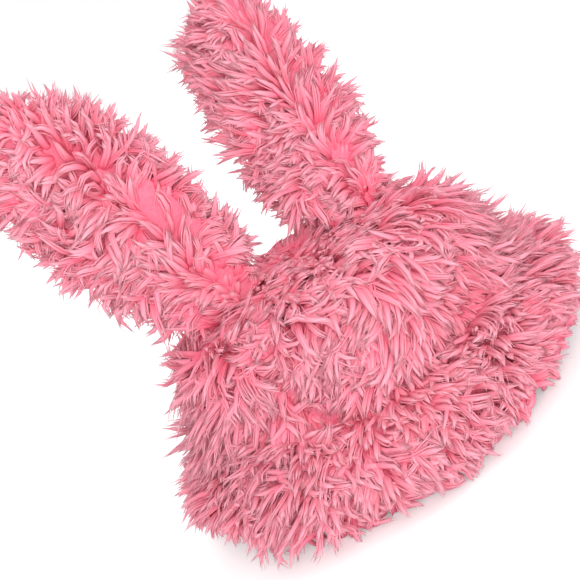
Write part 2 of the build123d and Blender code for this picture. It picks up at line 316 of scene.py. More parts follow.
def fur(
    name, root, normal, flow, length, rise, lay, tone, material, seed, held_up=1.0, level=None, curl=1.0
):
    """Locks of pile, one at each root, split over as many pieces as their number needs.
    A lock's middle line starts at the angle rise off the backing, in the direction flow, and turns evenly to
    the angle lay, sagging a little, while it winds sideways by curl: its points are the running sum of those
    directions, times length, and a sixth of the locks draw their neighbours to themselves. On that line lie
    a flattened tuft that swells before it tapers, four wisps over it that fan out, and one loose hair. tone
    chooses their rows in the colour map. Where held_up is 1 the backing is under the whole lock, which never
    sinks into it; where it is 0 the lock may hang. level gives the height of the cloth below any x and y, on
    which long locks come to lie."""
    rng = np.random.default_rng(seed)
    count = len(root)
    side = unit(np.cross(normal, flow))
    flow = np.cross(side, normal)
    swirl = drift(root, 0.050, 5)[:, :2] * (0.55 * curl, 0.20)
    turn = (swirl[:, 0] + rng.normal(0, 0.16, count))[:, None]
    flow, side = flow * np.cos(turn) + side * np.sin(turn), side * np.cos(turn) - flow * np.sin(turn)
    rise = rise + swirl[:, 1] + rng.normal(0, 0.12, count)
    lay = lay + 0.6 * swirl[:, 1] + rng.normal(0, 0.16, count)
    length = length * (1 + rng.normal(0, 0.10, count)) * (1 + 0.10 * drift(root, 0.03, seed + 1)[:, 0])
    first = unit(normal * np.sin(rise)[:, None] + flow * np.cos(rise)[:, None])
    last = unit(normal * np.sin(lay)[:, None] + flow * np.cos(lay)[:, None] + (0, 0, -0.22))
    t = np.linspace(0, 1, RINGS + 1) ** 0.92
    waves = drift(root, 0.034, 6)
    wind = curl * (rng.normal(0, 0.32, count) + 0.9 * waves[:, 0])
    sway = curl * (rng.normal(0, 0.25, count) + 0.6 * waves[:, 1])
    phase = 3.0 * waves[:, 2] + rng.normal(0, 0.6, count)
    winding = wind[:, None] * t + sway[:, None] * (np.sin(4.6 * t + phase[:, None]) - np.sin(phase)[:, None])
    heading = unit(first[:, None] * (1 - t)[:, None] + last[:, None] * t[:, None])
    leftward = np.cross(normal[:, None], heading)
    heading = unit(heading * np.cos(winding)[..., None] + leftward * np.sin(winding)[..., None])
    steps = (heading[:, 1:] + heading[:, :-1]) / 2 * np.diff(t)[:, None]
    middle_line = np.concatenate((np.zeros((count, 1, 3)), np.cumsum(steps, axis=1)), axis=1)
    chosen = rng.choice(count, max(1, count // 6), replace=False)
    nearest = chosen[np.argmin(((root[:, None] - root[None, chosen]) ** 2).sum(-1), axis=1)]
    pull = 0.45 * (root[nearest] - root)[:, None] * (t**1.3)[:, None]
    # A lower tone takes darker rows in the colour map; the callers lower it in partings and creases, as
    # painted shade.
    mood = tone + 0.14 * drift(root, 0.030, 7)[:, 0] + rng.normal(0, 0.10, count)

    line = root[:, None] + length[:, None, None] * middle_line + pull
    height = ((line - root[:, None]) * normal[:, None]).sum(-1)
    least = 0.0022 * np.sqrt(t) * np.broadcast_to(held_up, count)[:, None]
    raised = np.where(np.broadcast_to(held_up, count)[:, None] > 0, np.maximum(least - height, 0), 0)
    line = line + raised[..., None] * normal[:, None]
    if level is not None:
        line[..., 2] = np.maximum(line[..., 2], level(line[..., 0], line[..., 1]) + 0.004 * np.sqrt(t))
    along = unit(np.gradient(line, axis=1))
    across = unit(np.cross(along, normal[:, None] + rng.normal(0, 0.30, (count, 1, 3))))
    third = np.cross(along, across)
    swell = (0.65 + 1.1 * t - 0.8 * t**2) * np.clip(1 - t**2.6, 0, 1) ** 0.8
    wide = rng.uniform(0.0021, 0.0034, count)[:, None] * swell

    kinds = []
    for sides, each, half_width, flatness, paler in (TUFT, WISPS, HAIR):
        lock = np.repeat(np.arange(count), each)
        total = len(lock)
        if half_width is None:
            middle, thick = line, wide
        else:
            place = (np.tile(np.arange(each) + 0.5, count) / each) * 2 - 1 + rng.normal(0, 0.18, total)
            height = np.sqrt(np.clip(1 - place**2, 0.05, 1))
            height *= np.where(rng.uniform(0, 1, total) < 0.2, -0.5, 0.5)
            fan = wide[lock] + (rng.uniform(0.15, 0.8, total)[:, None] * t**2) * 0.0022
            reach = rng.uniform(0.82, 1.12, total)[:, None, None]
            middle = root[lock][:, None] + reach * (line - root[:, None])[lock]
            beside, over = (place[:, None] * fan)[..., None], (height[:, None] * fan)[..., None]
            middle += beside * across[lock] + over * third[lock]
            middle += rng.normal(0, 0.0009, (total, 1, 3)) * (t**1.5)[:, None]
            body = (0.80 + 0.7 * t - 0.5 * t**2) * np.clip(1 - t**2.6, 0, 1) ** 0.8
            thick = (half_width * rng.uniform(0.8, 1.3, total))[:, None] * body
        angle = np.arange(sides) * 2 * np.pi / sides
        offsets = thick[:, :-1, None, None] * (
            np.cos(angle)[:, None] * across[lock][:, :-1, None]
            + flatness * np.sin(angle)[:, None] * third[lock][:, :-1, None]
        )
        points = tube(middle, offsets)
        if level is not None:
            points[..., 2] = np.maximum(points[..., 2], level(points[..., 0], points[..., 1]) + 0.001)
        settle, z = 0.0022, points[..., 2]
        points[..., 2] = np.where(z > 0.03, z, settle * np.log1p(np.exp(np.clip(z / settle, -30, 30))))
        row = np.floor(np.clip(mood[lock] + paler + rng.normal(0, 0.10, total), 0, 0.999) * ROWS)
        kinds.append((each, points, row, tube_faces(sides, t, 0.06, 0.94)))

    made = []
    edges = np.linspace(0, count, max(1, int(np.ceil(count / MOST_LOCKS))) + 1).astype(int)
    for number, (start, stop) in enumerate(zip(edges[:-1], edges[1:])):
        points, faces, sizes, u, v, before = [], [], [], [], [], 0
        for each, all_points, row, (one, per_face, map_u, map_v) in kinds:
            some = all_points[start * each : stop * each]
            points.append(some.reshape(-1, 3))
            faces.append((before + one[None] + (np.arange(len(some)) * some.shape[1])[:, None]).ravel())
            sizes.append(np.tile(per_face, len(some)))
            u.append(np.tile(map_u, len(some)))
            v.append(((row[start * each : stop * each, None] + map_v[None]) / ROWS).ravel())
            before += some.shape[0] * some.shape[1]
        label = name if len(edges) == 2 else f"{name}_{number + 1}"
        made.append(
            mesh_piece(
                label, np.concatenate(points), np.concatenate(faces), np.concatenate(sizes),
                np.stack((np.concatenate(u), np.concatenate(v)), -1), material,
            )
        )
    return made


def scatter(wide, high, spacing, seed):
    """Places on a wide by high rectangle: a brick grid of the given spacing, each place moved at random."""
    rng = np.random.default_rng(seed)
    across, up = max(1, round(wide / spacing)), max(1, round(high / spacing / 0.9))
    x, y = np.meshgrid(np.arange(across), np.arange(up), indexing="ij")
    x = (x + 0.5 * (y % 2) + rng.uniform(-0.38, 0.38, x.shape)) % across / across
    y = (y + 0.5 + rng.uniform(-0.38, 0.38, y.shape)) / up
    return x.ravel() * wide, y.ravel() * high


# The pile's colour follows its own map: u runs from root to tip, and v from dark wisps to pale, a row for
# each kind of wisp, with the fine streaks of its own hairs. Along u it runs from deep pink to pale, painted
# shade deep in the pile and painted light on the tips; darker rows also paint the shade in partings and
# creases.
ROWS = 32
pile = Finish(bpy.data.materials.new("pink_pile"))
along, kind = pile.chart()
body = pile.value(
    "ValToRGB",
    {
        "stops": [
            (0.00, colour("F05F7D")),
            (0.25, colour("F37992")),
            (0.55, colour("F190A4")),
            (0.82, colour("F0A2B2")),
            (1.00, colour("F1AFBC")),
        ]
    },
    Fac=along,
)
rows = kind * ROWS
wisp = pile.value("TexWhiteNoise", {"noise_dimensions": "1D"}, W=rows.math("FLOOR", rows))
streaks = pile.value(
    "TexNoise",
    {"noise_dimensions": "2D"},
    Vector=pile.value("CombineXYZ", X=along * 2.2, Y=kind * (ROWS * 7.0)),
    Scale=1.0,
    Detail=2.0,
    Roughness=0.6,
)
level_of = 0.74 + 0.20 * kind + 0.06 * wisp + 0.26 * streaks
deep = pile.value(
    "Mix",
    {"data_type": "RGBA", "blend_type": "MULTIPLY"},
    2,
    Factor=1.0,
    A=body,
    B=pile.value("CombineColor", Red=level_of**0.15, Green=level_of, Blue=level_of),
)
ridges = pile.value("Bump", None, Height=streaks, Strength=0.35, Distance=0.0008)
fibre = pile.node("BsdfPrincipled", Base_Color=deep, Roughness=0.7, Specular_IOR_Level=0.0, Normal=ridges)
pile.surface(fibre)

tip_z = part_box("crown_tip_fur")[0][2]
joint_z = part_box("crown_band_wadding")[0][2]
layer_gap = 0.0003
root_lift = 0.0008  # the locks' roots, above the layer under the fur
joint_half = np.array(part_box("crown_band_wadding")[1][:2]) + layer_gap
tip_half = np.array(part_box("crown_tip_wadding")[1][:2]) + 0.001
FRONT, BACK = (-np.pi, 0.0), (0.0, np.pi)


def oval(half, angle):
    """Points of an ellipse in the directions given by angle: its radius there is ab / hypot(b cos, a sin)."""
    c, s = np.cos(angle), np.sin(angle)
    r = half[0] * half[1] / np.hypot(half[1] * c, half[0] * s)
    return np.stack((r * c, r * s), -1)


def crown_wall(angle, high, out):
    """Crown's side: straight from the joint's ellipse to the top panel's as high goes 0 to 1, moved out
    square to it."""
    low, top = oval(joint_half, angle), oval(tip_half, angle)
    flat = low + (top - low) * high[..., None]
    z = joint_z + (tip_z - joint_z) * high
    away = unit(np.stack((flat[..., 0] / joint_half[0] ** 2, flat[..., 1] / joint_half[1] ** 2), -1))
    lean = np.linalg.norm(low - top, axis=-1) / (tip_z - joint_z)
    normal = unit(np.concatenate((away, lean[..., None]), -1))
    return np.concatenate((flat, z[..., None]), -1) + normal * np.asarray(out)[..., None], normal


brim_width = 0.058
slope_side, slope_front = np.radians((20.0, 40.0))


def brim_slope(angle):
    """The brim lies flatter at the sides than in front and behind: its slope varies with |cos|^3."""
    return slope_front + (slope_side - slope_front) * np.abs(np.cos(angle)) ** 3


def brim_level(x, y):
    """Height of the brim's cloth below a place; far below, past its edge."""
    angle = np.arctan2(y, x)
    out = np.hypot(x, y) - np.linalg.norm(oval(joint_half, angle), axis=-1)
    slope = brim_slope(angle)
    return np.where(out < brim_width * np.cos(slope), joint_z - np.maximum(out, 0) * np.tan(slope), -1.0)


def combed_face(x):
    """How far the front's pile lies across instead of down, by its place across the face: it divides on two
    ridges and runs together in the parting. Between the places given it goes straight."""
    ways = (
        (-0.115, -1.3), (-0.095, -1.2), (-0.080, -0.5), (-0.072, 0.6), (-0.064, 0.5), (-0.058, -0.7),
        (0.010, -0.55), (0.034, -0.35), (0.046, 0.2), (0.062, 0.8), (0.070, 0.2), (0.078, 0.3),
        (0.095, 1.2), (0.115, 1.3),
    )
    return np.interp(x, *np.transpose(ways))


PARTING = np.array((
    (-0.066, 0.148), (-0.061, 0.122), (-0.060, 0.090), (-0.040, 0.070),
    (-0.008, 0.064), (0.022, 0.068), (0.060, 0.088), (0.074, 0.106),
))


def from_parting(points):
    """Distance of points, seen from the front, to the parting's line of straight runs."""
    p = points[:, None, (0, 2)]
    a, b = PARTING[None, :-1], PARTING[None, 1:]
    run = b - a
    t = np.clip(((p - a) * run).sum(-1) / (run * run).sum(-1), 0, 1)[..., None]
    return np.linalg.norm(p - a - t * run, axis=-1).min(1)


def quilt(name, lower, upper, material, wraps=False, mapped=False):
    """A closed cloth from two grids of points, one above the other: both faces and the walls that join their
    edges. wraps joins the first column to the last. mapped gives it a map: u across the grid, and v up it,
    over the map's lower half for the under face and the upper half for the other."""
    rows, columns = lower.shape[:2]
    points = np.concatenate((lower.reshape(-1, 3), upper.reshape(-1, 3)))
    number = np.arange(rows * columns).reshape(rows, columns)
    if wraps:
        number = np.concatenate((number, number[:, :1]), 1)
    a, b, c, d = number[:-1, :-1], number[:-1, 1:], number[1:, 1:], number[1:, :-1]
    shift = rows * columns
    under = np.stack((a, b, c, d), -1).reshape(-1, 4)
    over = np.stack((a, d, c, b), -1).reshape(-1, 4) + shift
    rim = [number[0], number[-1, ::-1]] + ([] if wraps else [number[::-1, 0], number[:, -1]])
    walls = [np.stack((e[:-1], e[:-1] + shift, e[1:] + shift, e[1:]), -1) for e in rim]
    faces = np.concatenate((under, over, *walls))
    uv = None
    if mapped:
        dr, dc = 1 / len(a), 1 / len(a[0])
        r, c = np.arange(len(a))[:, None] * dr, np.arange(len(a[0]))[None, :] * dc
        u = np.stack((c + 0 * r, c + dc + 0 * r, c + dc + 0 * r, c + 0 * r), -1).reshape(-1, 4)
        v = np.stack((r + 0 * c, r + 0 * c, r + dr + 0 * c, r + dr + 0 * c), -1).reshape(-1, 4)
        order = [0, 3, 2, 1]
        edge = [np.stack((np.arange(len(w)) / len(w),) * 4, -1) for w in walls]
        across = np.tile((0.485, 0.515, 0.515, 0.485), (sum(len(w) for w in walls), 1))
        uv = np.stack((
            np.concatenate((u, u[:, order], *edge)),
            np.concatenate((0.48 * v, 0.52 + 0.48 * v[:, order], across)),
        ), -1).reshape(-1, 2)
    piece = mesh_piece(name, points, faces.ravel(), np.full(len(faces), 4), uv, material)
    check = bmesh.new()
    check.from_mesh(piece.data)
    if check.calc_volume(signed=True) < 0:
        bmesh.ops.reverse_faces(check, faces=check.faces)
        check.to_mesh(piece.data)
    check.free()
    return piece


# The dense ground pile on its knitted backing, seen only in the partings.
ground = Finish(bpy.data.materials.new("ground_pile"))
place = ground.value("TexCoord", None, 3)
fluff = ground.value("TexNoise", None, Vector=place, Scale=420.0, Detail=4.0, Roughness=0.7)
patch = ground.value("TexNoise", None, Vector=place, Scale=60.0, Detail=2.0)
mixed = ground.value(
    "ValToRGB",
    {"stops": [(0.25, colour("EC6482")), (0.5, colour("EE7D95")), (0.8, colour("EF93A7"))]},
    Fac=0.6 * fluff + 0.4 * patch,
)
raised = ground.value("Bump", None, Height=fluff, Strength=0.9, Distance=0.0015)
wool = ground.node(
    "BsdfPrincipled", Base_Color=mixed, Roughness=0.9, Specular_IOR_Level=0.0, Normal=raised
)
ground.surface(wool)
GROUND = 0.0075
half_round, pile_high, band_spacing = 0.562 / 2, 0.080, 0.0044  # the locks' ground, and their spacing


def belongs(pieces, body):
    """Each piece moves with a body."""
    for piece in pieces:
        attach(piece, body)


for half_name, (start, end), seed in (("front", FRONT, 11), ("back", BACK, 12)):
    turn, high = np.meshgrid(np.linspace(start + 0.002, end - 0.002, 121), np.linspace(0.0, 1.0, 25))
    under, normal = crown_wall(turn, high, np.full(turn.shape, layer_gap))
    thick = GROUND * (0.3 + 0.7 * np.minimum(soft_step(0, 0.22, high), 1 - 0.4 * soft_step(0.9, 1, high)))
    thick *= 1 + 0.16 * drift(under, 0.016, 4)[..., 0]
    cloth = quilt(f"crown_band_{half_name}_cloth", under, crown_wall(turn, high, thick)[0], ground.owner)
    belongs([cloth], "hat")
    across, high = scatter(half_round, pile_high, band_spacing, seed)
    angle = start + (end - start) * across / half_round
    high = high / pile_high
    root, normal = crown_wall(angle, high, np.full(len(angle), root_lift))
    sideways = np.stack((-np.sin(angle), np.cos(angle), np.zeros_like(angle)), -1)
    sideways *= np.where(sideways[:, :1] < 0, -1, 1)
    if half_name == "front":
        comb = combed_face(root[:, 0])
        parting = np.exp(-((from_parting(root + normal * 0.02) / 0.013) ** 2))
    else:
        comb = 1.1 * root[:, 0] / 0.1
        parting = np.zeros(len(root))
    beside = soft_step(0.045, 0.095, np.abs(root[:, 0]))
    flow = unit(sideways * comb[:, None] + np.array((0, 0, -1.0)) * (1 - 0.45 * beside)[:, None])
    beyond = np.where(root[:, 0] < 0, 0.028, 0.022) * beside
    length = (0.036 + beyond * (1 - 0.7 * high)) * (1 - 0.30 * parting)
    rise = 0.80 + 0.35 * beside - 0.25 * parting
    lay = 0.10 + 0.50 * beside - 0.30 * parting
    # Painted shade: darker rows in the parting, and a little darker low on the band, towards the crease at
    # the brim.
    tone = 0.52 + 0.10 * high - 0.45 * parting
    order = np.argsort(angle)
    piece = fur(
        f"crown_band_{half_name}_pile", root[order], normal[order], flow[order], length[order], rise[order],
        lay[order], tone[order], pile.owner, seed, level=brim_level,
    )
    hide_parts(f"crown_band_{half_name}_fur")
    belongs(piece, "hat")

# ---------------------------------------------------------------- crown, top panel of fur
# The round top panel, cut as an oval from the same fur and sewn into the band's upper
# edge. Its pile radiates from the middle and falls forward over the face.
DOME = 0.006


def crown_top(angle, out_share, lift):
    """Top panel: an oval disc, domed, its points given by direction and share of the radius."""
    flat = oval(tip_half - 0.001, angle) * out_share[..., None]
    z = tip_z + DOME * (1 - out_share**2) + lift
    return np.concatenate((flat, z[..., None]), -1)


def top_level(x, y):
    """Height of the top panel's cloth below a place; far below, past its edge."""
    return np.where(np.hypot(x / tip_half[0], y / tip_half[1]) < 1.0, tip_z + 0.0015, -1.0)


turn, share = np.meshgrid(np.linspace(0, 2 * np.pi, 145)[:-1], np.linspace(0.001, 1.03, 22))
cover = 0.55 * GROUND * np.sqrt(np.clip(1 - share**8, 0.30, 1))
cover *= 1 + 0.16 * drift(crown_top(turn, share, 0.0), 0.016, 4)[..., 0]
tip_cloth = quilt(
    "crown_tip_cloth", crown_top(turn, share, layer_gap), crown_top(turn, share, cover), ground.owner,
    wraps=True,
)
rng = np.random.default_rng(22)
count = 1150
spiral = (np.arange(count) + 0.5) / count
angle = np.arange(count) * np.pi * (3 - 5**0.5) + rng.normal(0, 0.05, count)
far_out = np.sqrt(spiral) * (1 + rng.normal(0, 0.012, count))
edge = oval(tip_half - 0.001, angle)
flat = edge * far_out[:, None]
dome = DOME * (1 - far_out**2)
root = np.concatenate((flat, (tip_z + root_lift + dome)[:, None]), -1)
normal = unit(np.concatenate((flat * 1.6 * (far_out[:, None] ** 2), np.full((count, 1), 0.09)), -1))
flow = unit(np.concatenate((flat, np.zeros((count, 1))), -1) + (0, -0.030, 0))
ears = [np.array(j["pos_m"]) for j in frame["joints"]]
near = np.min([np.hypot((root[:, 0] - e[0]) / 1.6, root[:, 1] - e[1]) for e in ears], axis=0)
short = 1 - soft_step(0.006, 0.026, near)
between = np.exp(-((root[:, 0] / 0.042) ** 2)) * soft_step(-0.055, -0.02, root[:, 1])
length = 0.034 + 0.004 * far_out - 0.012 * short - 0.013 * between
rise = 0.95 - 0.1 * short - 0.20 * between
lay = 0.30 + 0.1 * (1 - far_out) - 0.9 * soft_step(0.050, 0.078, -root[:, 1])
tone = np.full(count, 0.60)
piece = fur(
    "crown_tip_pile", root, normal, flow, length, rise, lay, tone, pile.owner, 23,
    held_up=(far_out < 0.72).astype(float), level=top_level, curl=1.3,
)
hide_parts("crown_tip_fur")
np.pi * tip_half.prod()
belongs([tip_cloth, *piece], "hat")

# ---------------------------------------------------------------- brim, upper side of fur
# Two halves of the same fur, sewn to the crown's lower edge, stiffened by foam and rolled
# over the rim. The pile falls outward and hangs past the edge in spikes.
mid_arc, pile_run, brim_spacing = 0.40, 0.0655, 0.0046  # the locks' ground, and their spacing


def brim_top(angle, along, out):
    """Brim's upper side: straight out and down from the joint's ellipse, flatter at the sides by |cos|^3,
    then over a rolled edge; out is the distance off it, along its normal. Gives points, normals, tangents."""
    slope = brim_slope(angle)
    flat = oval(joint_half, angle)
    outward = unit(np.stack((np.cos(angle), np.sin(angle)), -1))
    edge_radius = 0.003
    run = np.clip(along, 0, brim_width)
    rolled = np.clip((along - brim_width) / edge_radius, 0, 2.6)
    r = run * np.cos(slope) + edge_radius * (np.sin(slope + rolled) - np.sin(slope))
    z = joint_z - run * np.sin(slope) + edge_radius * (np.cos(slope + rolled) - np.cos(slope))
    turned = slope + rolled
    normal = np.concatenate((outward * np.sin(turned)[..., None], np.cos(turned)[..., None]), -1)
    tangent = np.concatenate((outward * np.cos(turned)[..., None], -np.sin(turned)[..., None]), -1)
    points = np.concatenate((flat + outward * r[..., None], z[..., None]), -1)
    return points + normal * np.asarray(out)[..., None], normal, tangent


for half_name, (start, end), seed in (("front", FRONT, 31), ("back", BACK, 32)):
    turn, run = np.meshgrid(np.linspace(start + 0.002, end - 0.002, 145), np.linspace(0.0005, 0.065, 25))
    thick = GROUND * (0.2 + 0.8 * soft_step(0, 0.022, run) * (1 - 0.75 * soft_step(0.040, 0.062, run)))
    thick *= 1 + 0.16 * drift(brim_top(turn, run, 0.0 * run)[0], 0.016, 4)[..., 0]
    cloth = quilt(
        f"brim_{half_name}_cloth", brim_top(turn, run, np.full(turn.shape, layer_gap))[0],
        brim_top(turn, run, thick)[0], ground.owner,
    )
    belongs([cloth], "hat")
    across, along_brim = scatter(mid_arc, pile_run, brim_spacing, seed)
    angle = start + (end - start) * across / mid_arc
    root, normal, flow = brim_top(angle, along_brim, np.full(len(angle), root_lift))
    at_rim = soft_step(0.040, 0.060, along_brim)
    inner = 1 - soft_step(0.004, 0.026, along_brim)
    beside = np.abs(np.cos(angle)) ** 2
    toward_right = soft_step(0.0, 0.08, root[:, 0]) * soft_step(0.0, 0.05, -root[:, 1])
    length = 0.036 + 0.003 * (1 - at_rim) * beside - 0.011 * at_rim - (0.012 * at_rim + 0.002) * toward_right
    length -= 0.004 * soft_step(0.09, 0.14, -root[:, 0]) * soft_step(-0.10, -0.06, root[:, 1])
    length += 0.005 * soft_step(0.05, 0.10, -root[:, 0]) * soft_step(0.06, 0.10, -root[:, 1])
    rise = 0.95 + 0.30 * inner - 0.25 * at_rim
    lay = 0.25 + 0.40 * inner - 0.10 * at_rim
    # Painted shade: darker rows next to the crown, in the crease; painted light: a little paler on the rolled
    # rim.
    tone = 0.55 - 0.12 * inner + 0.05 * at_rim
    if half_name == "front":
        parting = np.exp(-((from_parting(root + normal * 0.02) / 0.012) ** 2))
        # Painted shade: darker rows along the parting.
        length, tone, rise = length * (1 - 0.3 * parting), tone - 0.25 * parting, rise - 0.2 * parting
    order = np.argsort(angle)
    piece = fur(
        f"brim_{half_name}_pile", root[order], normal[order], flow[order], length[order], rise[order],
        lay[order], tone[order], pile.owner, seed, held_up=(along_brim[order] < 0.036).astype(float),
    )
    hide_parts(f"brim_top_{half_name}_fur")
    belongs(piece, "hat")

# ---------------------------------------------------------------- ears
# Two panels of the same fur round flat wadding and a wire, sewn to the crown's top and
# cupped forward. The left one stands nearly upright, and the right one leans back. The
# pile is combed out from a parting to both edges, and up at the tip.
ear_length, ear_base_half, ear_wide_half, ear_cup = 0.206, 0.023, 0.033, 0.010
widest_at = 0.52


def ear_half(s):
    """Half the ear's width at a distance up it: a sine rise from the base, then an elliptical close."""
    peak = widest_at * ear_length
    low = ear_base_half + (ear_wide_half - ear_base_half) * np.sin(np.pi / 2 * np.clip(s / peak, 0, 1)) ** 1.3
    high = ear_wide_half * np.clip(1 - np.clip((s - peak) / (ear_length - peak), 0, 1) ** 2.6, 0, 1) ** 0.5
    return np.where(s < peak, low, high)


def ear_core(s):
    """Half the ear's thickness without its fur: it grows from the sewn base over 75 mm."""
    return 0.0024 + 0.0021 * soft_step(0, 0.075, s)


for name, lean, back_tilt, bow, parting_at, seed in (
    ("left", -np.tan(np.radians(15.0)), 3.0, -0.002, 0.38, 41),
    ("right", np.tan(np.radians(11.5)), 35.0, 0.026, 0.36, 51),
):
    joint = next(j for j in frame["joints"] if j["name"] == f"ear_{name}_bend")
    origin = np.array(joint["pos_m"])
    seam = unit(np.array(joint["axis"]))
    tilt = np.radians(back_tilt)
    sideward = np.cross((0, 0, 1.0), seam)
    up_ear = np.cos(tilt) * np.array((0, 0, 1.0)) + np.sin(tilt) * sideward
    to_back = np.cross(up_ear, seam)
    basis = np.stack((seam, up_ear, to_back))

    def ear_surface(s, round_about, grow):
        """The stuffed ear: an oval round the middle line, that far bigger than its core, cupped forward at
        its edges."""
        half, share = ear_half(np.clip(s, 0, 0.998 * ear_length)), s / ear_length
        closing = np.sqrt(np.clip(1 - np.clip((share - 0.86) / 0.14, 0, 1) ** 2, 0.02, 1))
        core = (ear_core(s) + grow) * closing
        x = (half + grow * 0.6) * np.cos(round_about) + bow * share**2.5
        cup = ear_cup * np.cos(round_about) ** 2 * np.sin(np.pi * np.clip(share, 0, 1))
        y = core * np.sin(round_about) - cup
        return origin + np.stack((lean * s + x, s, y), -1) @ basis

    about, up = np.meshgrid(np.linspace(0, 2 * np.pi, 49)[:-1], np.linspace(0.0015, 0.205, 60))
    body_points = ear_surface(up, about, 0.001 + 0.0040 * soft_step(0, 0.06, up))
    round_count = up.shape[1]
    ends = np.stack((body_points[0].mean(0), body_points[-1].mean(0)))
    number = np.arange(up.size).reshape(up.shape)
    number = np.concatenate((number, number[:, :1]), 1)
    a, b, c, d = number[:-1, :-1], number[:-1, 1:], number[1:, 1:], number[1:, :-1]
    quads = np.stack((a, b, c, d), -1).reshape(-1, 4)
    foot = np.stack((number[0, 1:], number[0, :-1], np.full(round_count, up.size)), -1)
    top = np.stack((number[-1, :-1], number[-1, 1:], np.full(round_count, up.size + 1)), -1)
    body = mesh_piece(
        f"ear_{name}_body", np.concatenate((body_points.reshape(-1, 3), ends)),
        np.concatenate((quads.ravel(), foot.ravel(), top.ravel())),
        np.concatenate((np.full(len(quads), 4), np.full(2 * round_count, 3))), None, ground.owner,
    )
    belongs([body], f"ear_{name}")
    rng = np.random.default_rng(seed)
    count, tries = 1620, 8000
    s = rng.uniform(0.002, ear_length - 0.004, tries)
    q = rng.uniform(-1, 1, tries)
    keep = rng.uniform(0, 1, tries) < ear_half(s) / ear_wide_half
    s, q = s[keep][:count], q[keep][:count]
    face = np.where(np.arange(len(s)) % 2 == 0, -1.0, 1.0)
    half = ear_half(s)
    core = ear_core(s)
    bulge = np.sqrt(np.clip(1 - q**2, 0, 1))
    cup = -ear_cup * q**2 * np.sin(np.pi * np.clip(s / ear_length, 0, 1))
    local = np.stack((lean * s + q * half + bow * (s / ear_length) ** 2.5, s, face * core * bulge + cup), -1)
    root = origin + local @ basis
    around_normal = unit(
        np.stack((q * 1.1 * np.abs(q), 0.9 * soft_step(0.75, 1.0, s / ear_length), face * (bulge + 0.05)), -1)
    )
    normal = around_normal @ basis
    across_flow = np.tanh(np.where(face < 0, q - parting_at, q) * 3.5)
    upward = 0.30 + 1.2 * soft_step(0.72, 1.0, s / ear_length)
    flow_local = unit(np.stack((across_flow, upward, np.zeros_like(q)), -1))
    flow = unit(flow_local @ basis)
    parting = np.where(face < 0, np.exp(-(((q - parting_at) / 0.07) ** 2)), 0)
    base = 1 - soft_step(0.0, 0.05, s)
    outer = soft_step(0.2, 1.0, -q if name == "left" else q)
    at_tip = soft_step(0.75, 1.0, s / ear_length)
    length = 0.031 - 0.008 * at_tip
    if name == "left":
        length += (0.009 + 0.007 * base) * outer + (0.003 - 0.021 * base) * (1 - outer)
        length += 0.006 * outer * np.exp(-(((s - 0.085) / 0.030) ** 2))
    else:
        length -= 0.008 * outer * soft_step(0.4, 0.8, s / ear_length) + 0.010 * base
        length += 0.005 * (1 - outer) * (1 - at_tip) * (1 - base)
    length *= 1 - 0.55 * base * (face > 0)
    rise = 0.85 - 0.10 * parting
    lay = np.full(len(s), 0.25)
    # Painted shade: darker rows along the ear's parting.
    tone = 0.60 - 0.25 * parting
    order = np.argsort(s)
    piece = fur(
        f"ear_{name}_pile", root[order], normal[order], flow[order], length[order], rise[order], lay[order],
        tone[order], pile.owner, seed, level=top_level,
    )
    belongs(piece, f"ear_{name}")
    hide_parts(f"ear_{name}_front_fur", f"ear_{name}_back_fur", f"ear_{name}_wadding")

# ---------------------------------------------------------------- lining and brim facing
# Plain woven polyester, cut like the fur and a little loose, so it lies in shallow
# puckers. The facing is sewn to the brim's edge and topstitched beside it.
layers_in = 0.0036  # wadding and gaps between the backing and the lining
lining_thick = 0.0008
lining_drop, facing_drop = 0.0004, 0.0010  # how far each hangs clear of the layer behind it
lining = Finish(bpy.data.materials.new("lining_cloth"))
warp_way, weft_way = lining.chart()
warp, weft = warp_way * (2 * np.pi * 420), weft_way * (2 * np.pi * 230)
weave = warp.math("SINE", warp) * weft.math("SINE", weft)
slubs = lining.value(
    "TexNoise", {"noise_dimensions": "2D"}, Scale=1.0, Detail=3.0,
    Vector=lining.value("CombineXYZ", X=warp_way * 340.0, Y=weft_way * 9.0),
)
tint = lining.value("TexNoise", None, Vector=lining.value("TexCoord", None, 3), Scale=14.0, Detail=3.0)
# The weave adds a little colour: paler where it stands up and darker where it sinks, as painted shade; the
# slubs and the tint are the cloth's own.
shade_of = 0.45 * slubs + 0.35 * tint + 0.10 * weave + 0.10
dye_and_weave_shade = lining.value(
    "ValToRGB",
    {"stops": [(0.2, colour("C96F85")), (0.5, colour("DC8A9C")), (0.8, colour("EBA5B4"))]},
    Fac=shade_of,
)
woven = lining.value("Bump", None, Height=0.5 * weave + 0.5 * slubs, Strength=0.25, Distance=0.0003)
satin = lining.node(
    "BsdfPrincipled", Base_Color=dye_and_weave_shade, Roughness=0.52, Specular_IOR_Level=0.35, Sheen_Weight=0.12,
    Sheen_Roughness=0.4, Normal=woven,
)
lining.surface(satin)

thread = Finish(bpy.data.materials.new("sewing_thread"))
along, around = thread.chart()
ply = along * (2 * np.pi * 5) + around * (2 * np.pi)
ply = 0.5 + 0.5 * ply.math("SINE", ply)
# The colour follows the twist: darker in the grooves between the plies, as painted shade, and paler on their
# crests, as painted light.
spun = thread.value(
    "ValToRGB",
    {"stops": [(0.0, colour("C25C77")), (0.6, colour("E08297")), (1.0, colour("F0A3B3"))]},
    Fac=ply,
)
twist = thread.value("Bump", None, Height=ply, Strength=0.5, Distance=0.0001)
yarn = thread.node("BsdfPrincipled", Base_Color=spun, Roughness=0.5, Specular_IOR_Level=0.4, Normal=twist)
thread.surface(yarn)


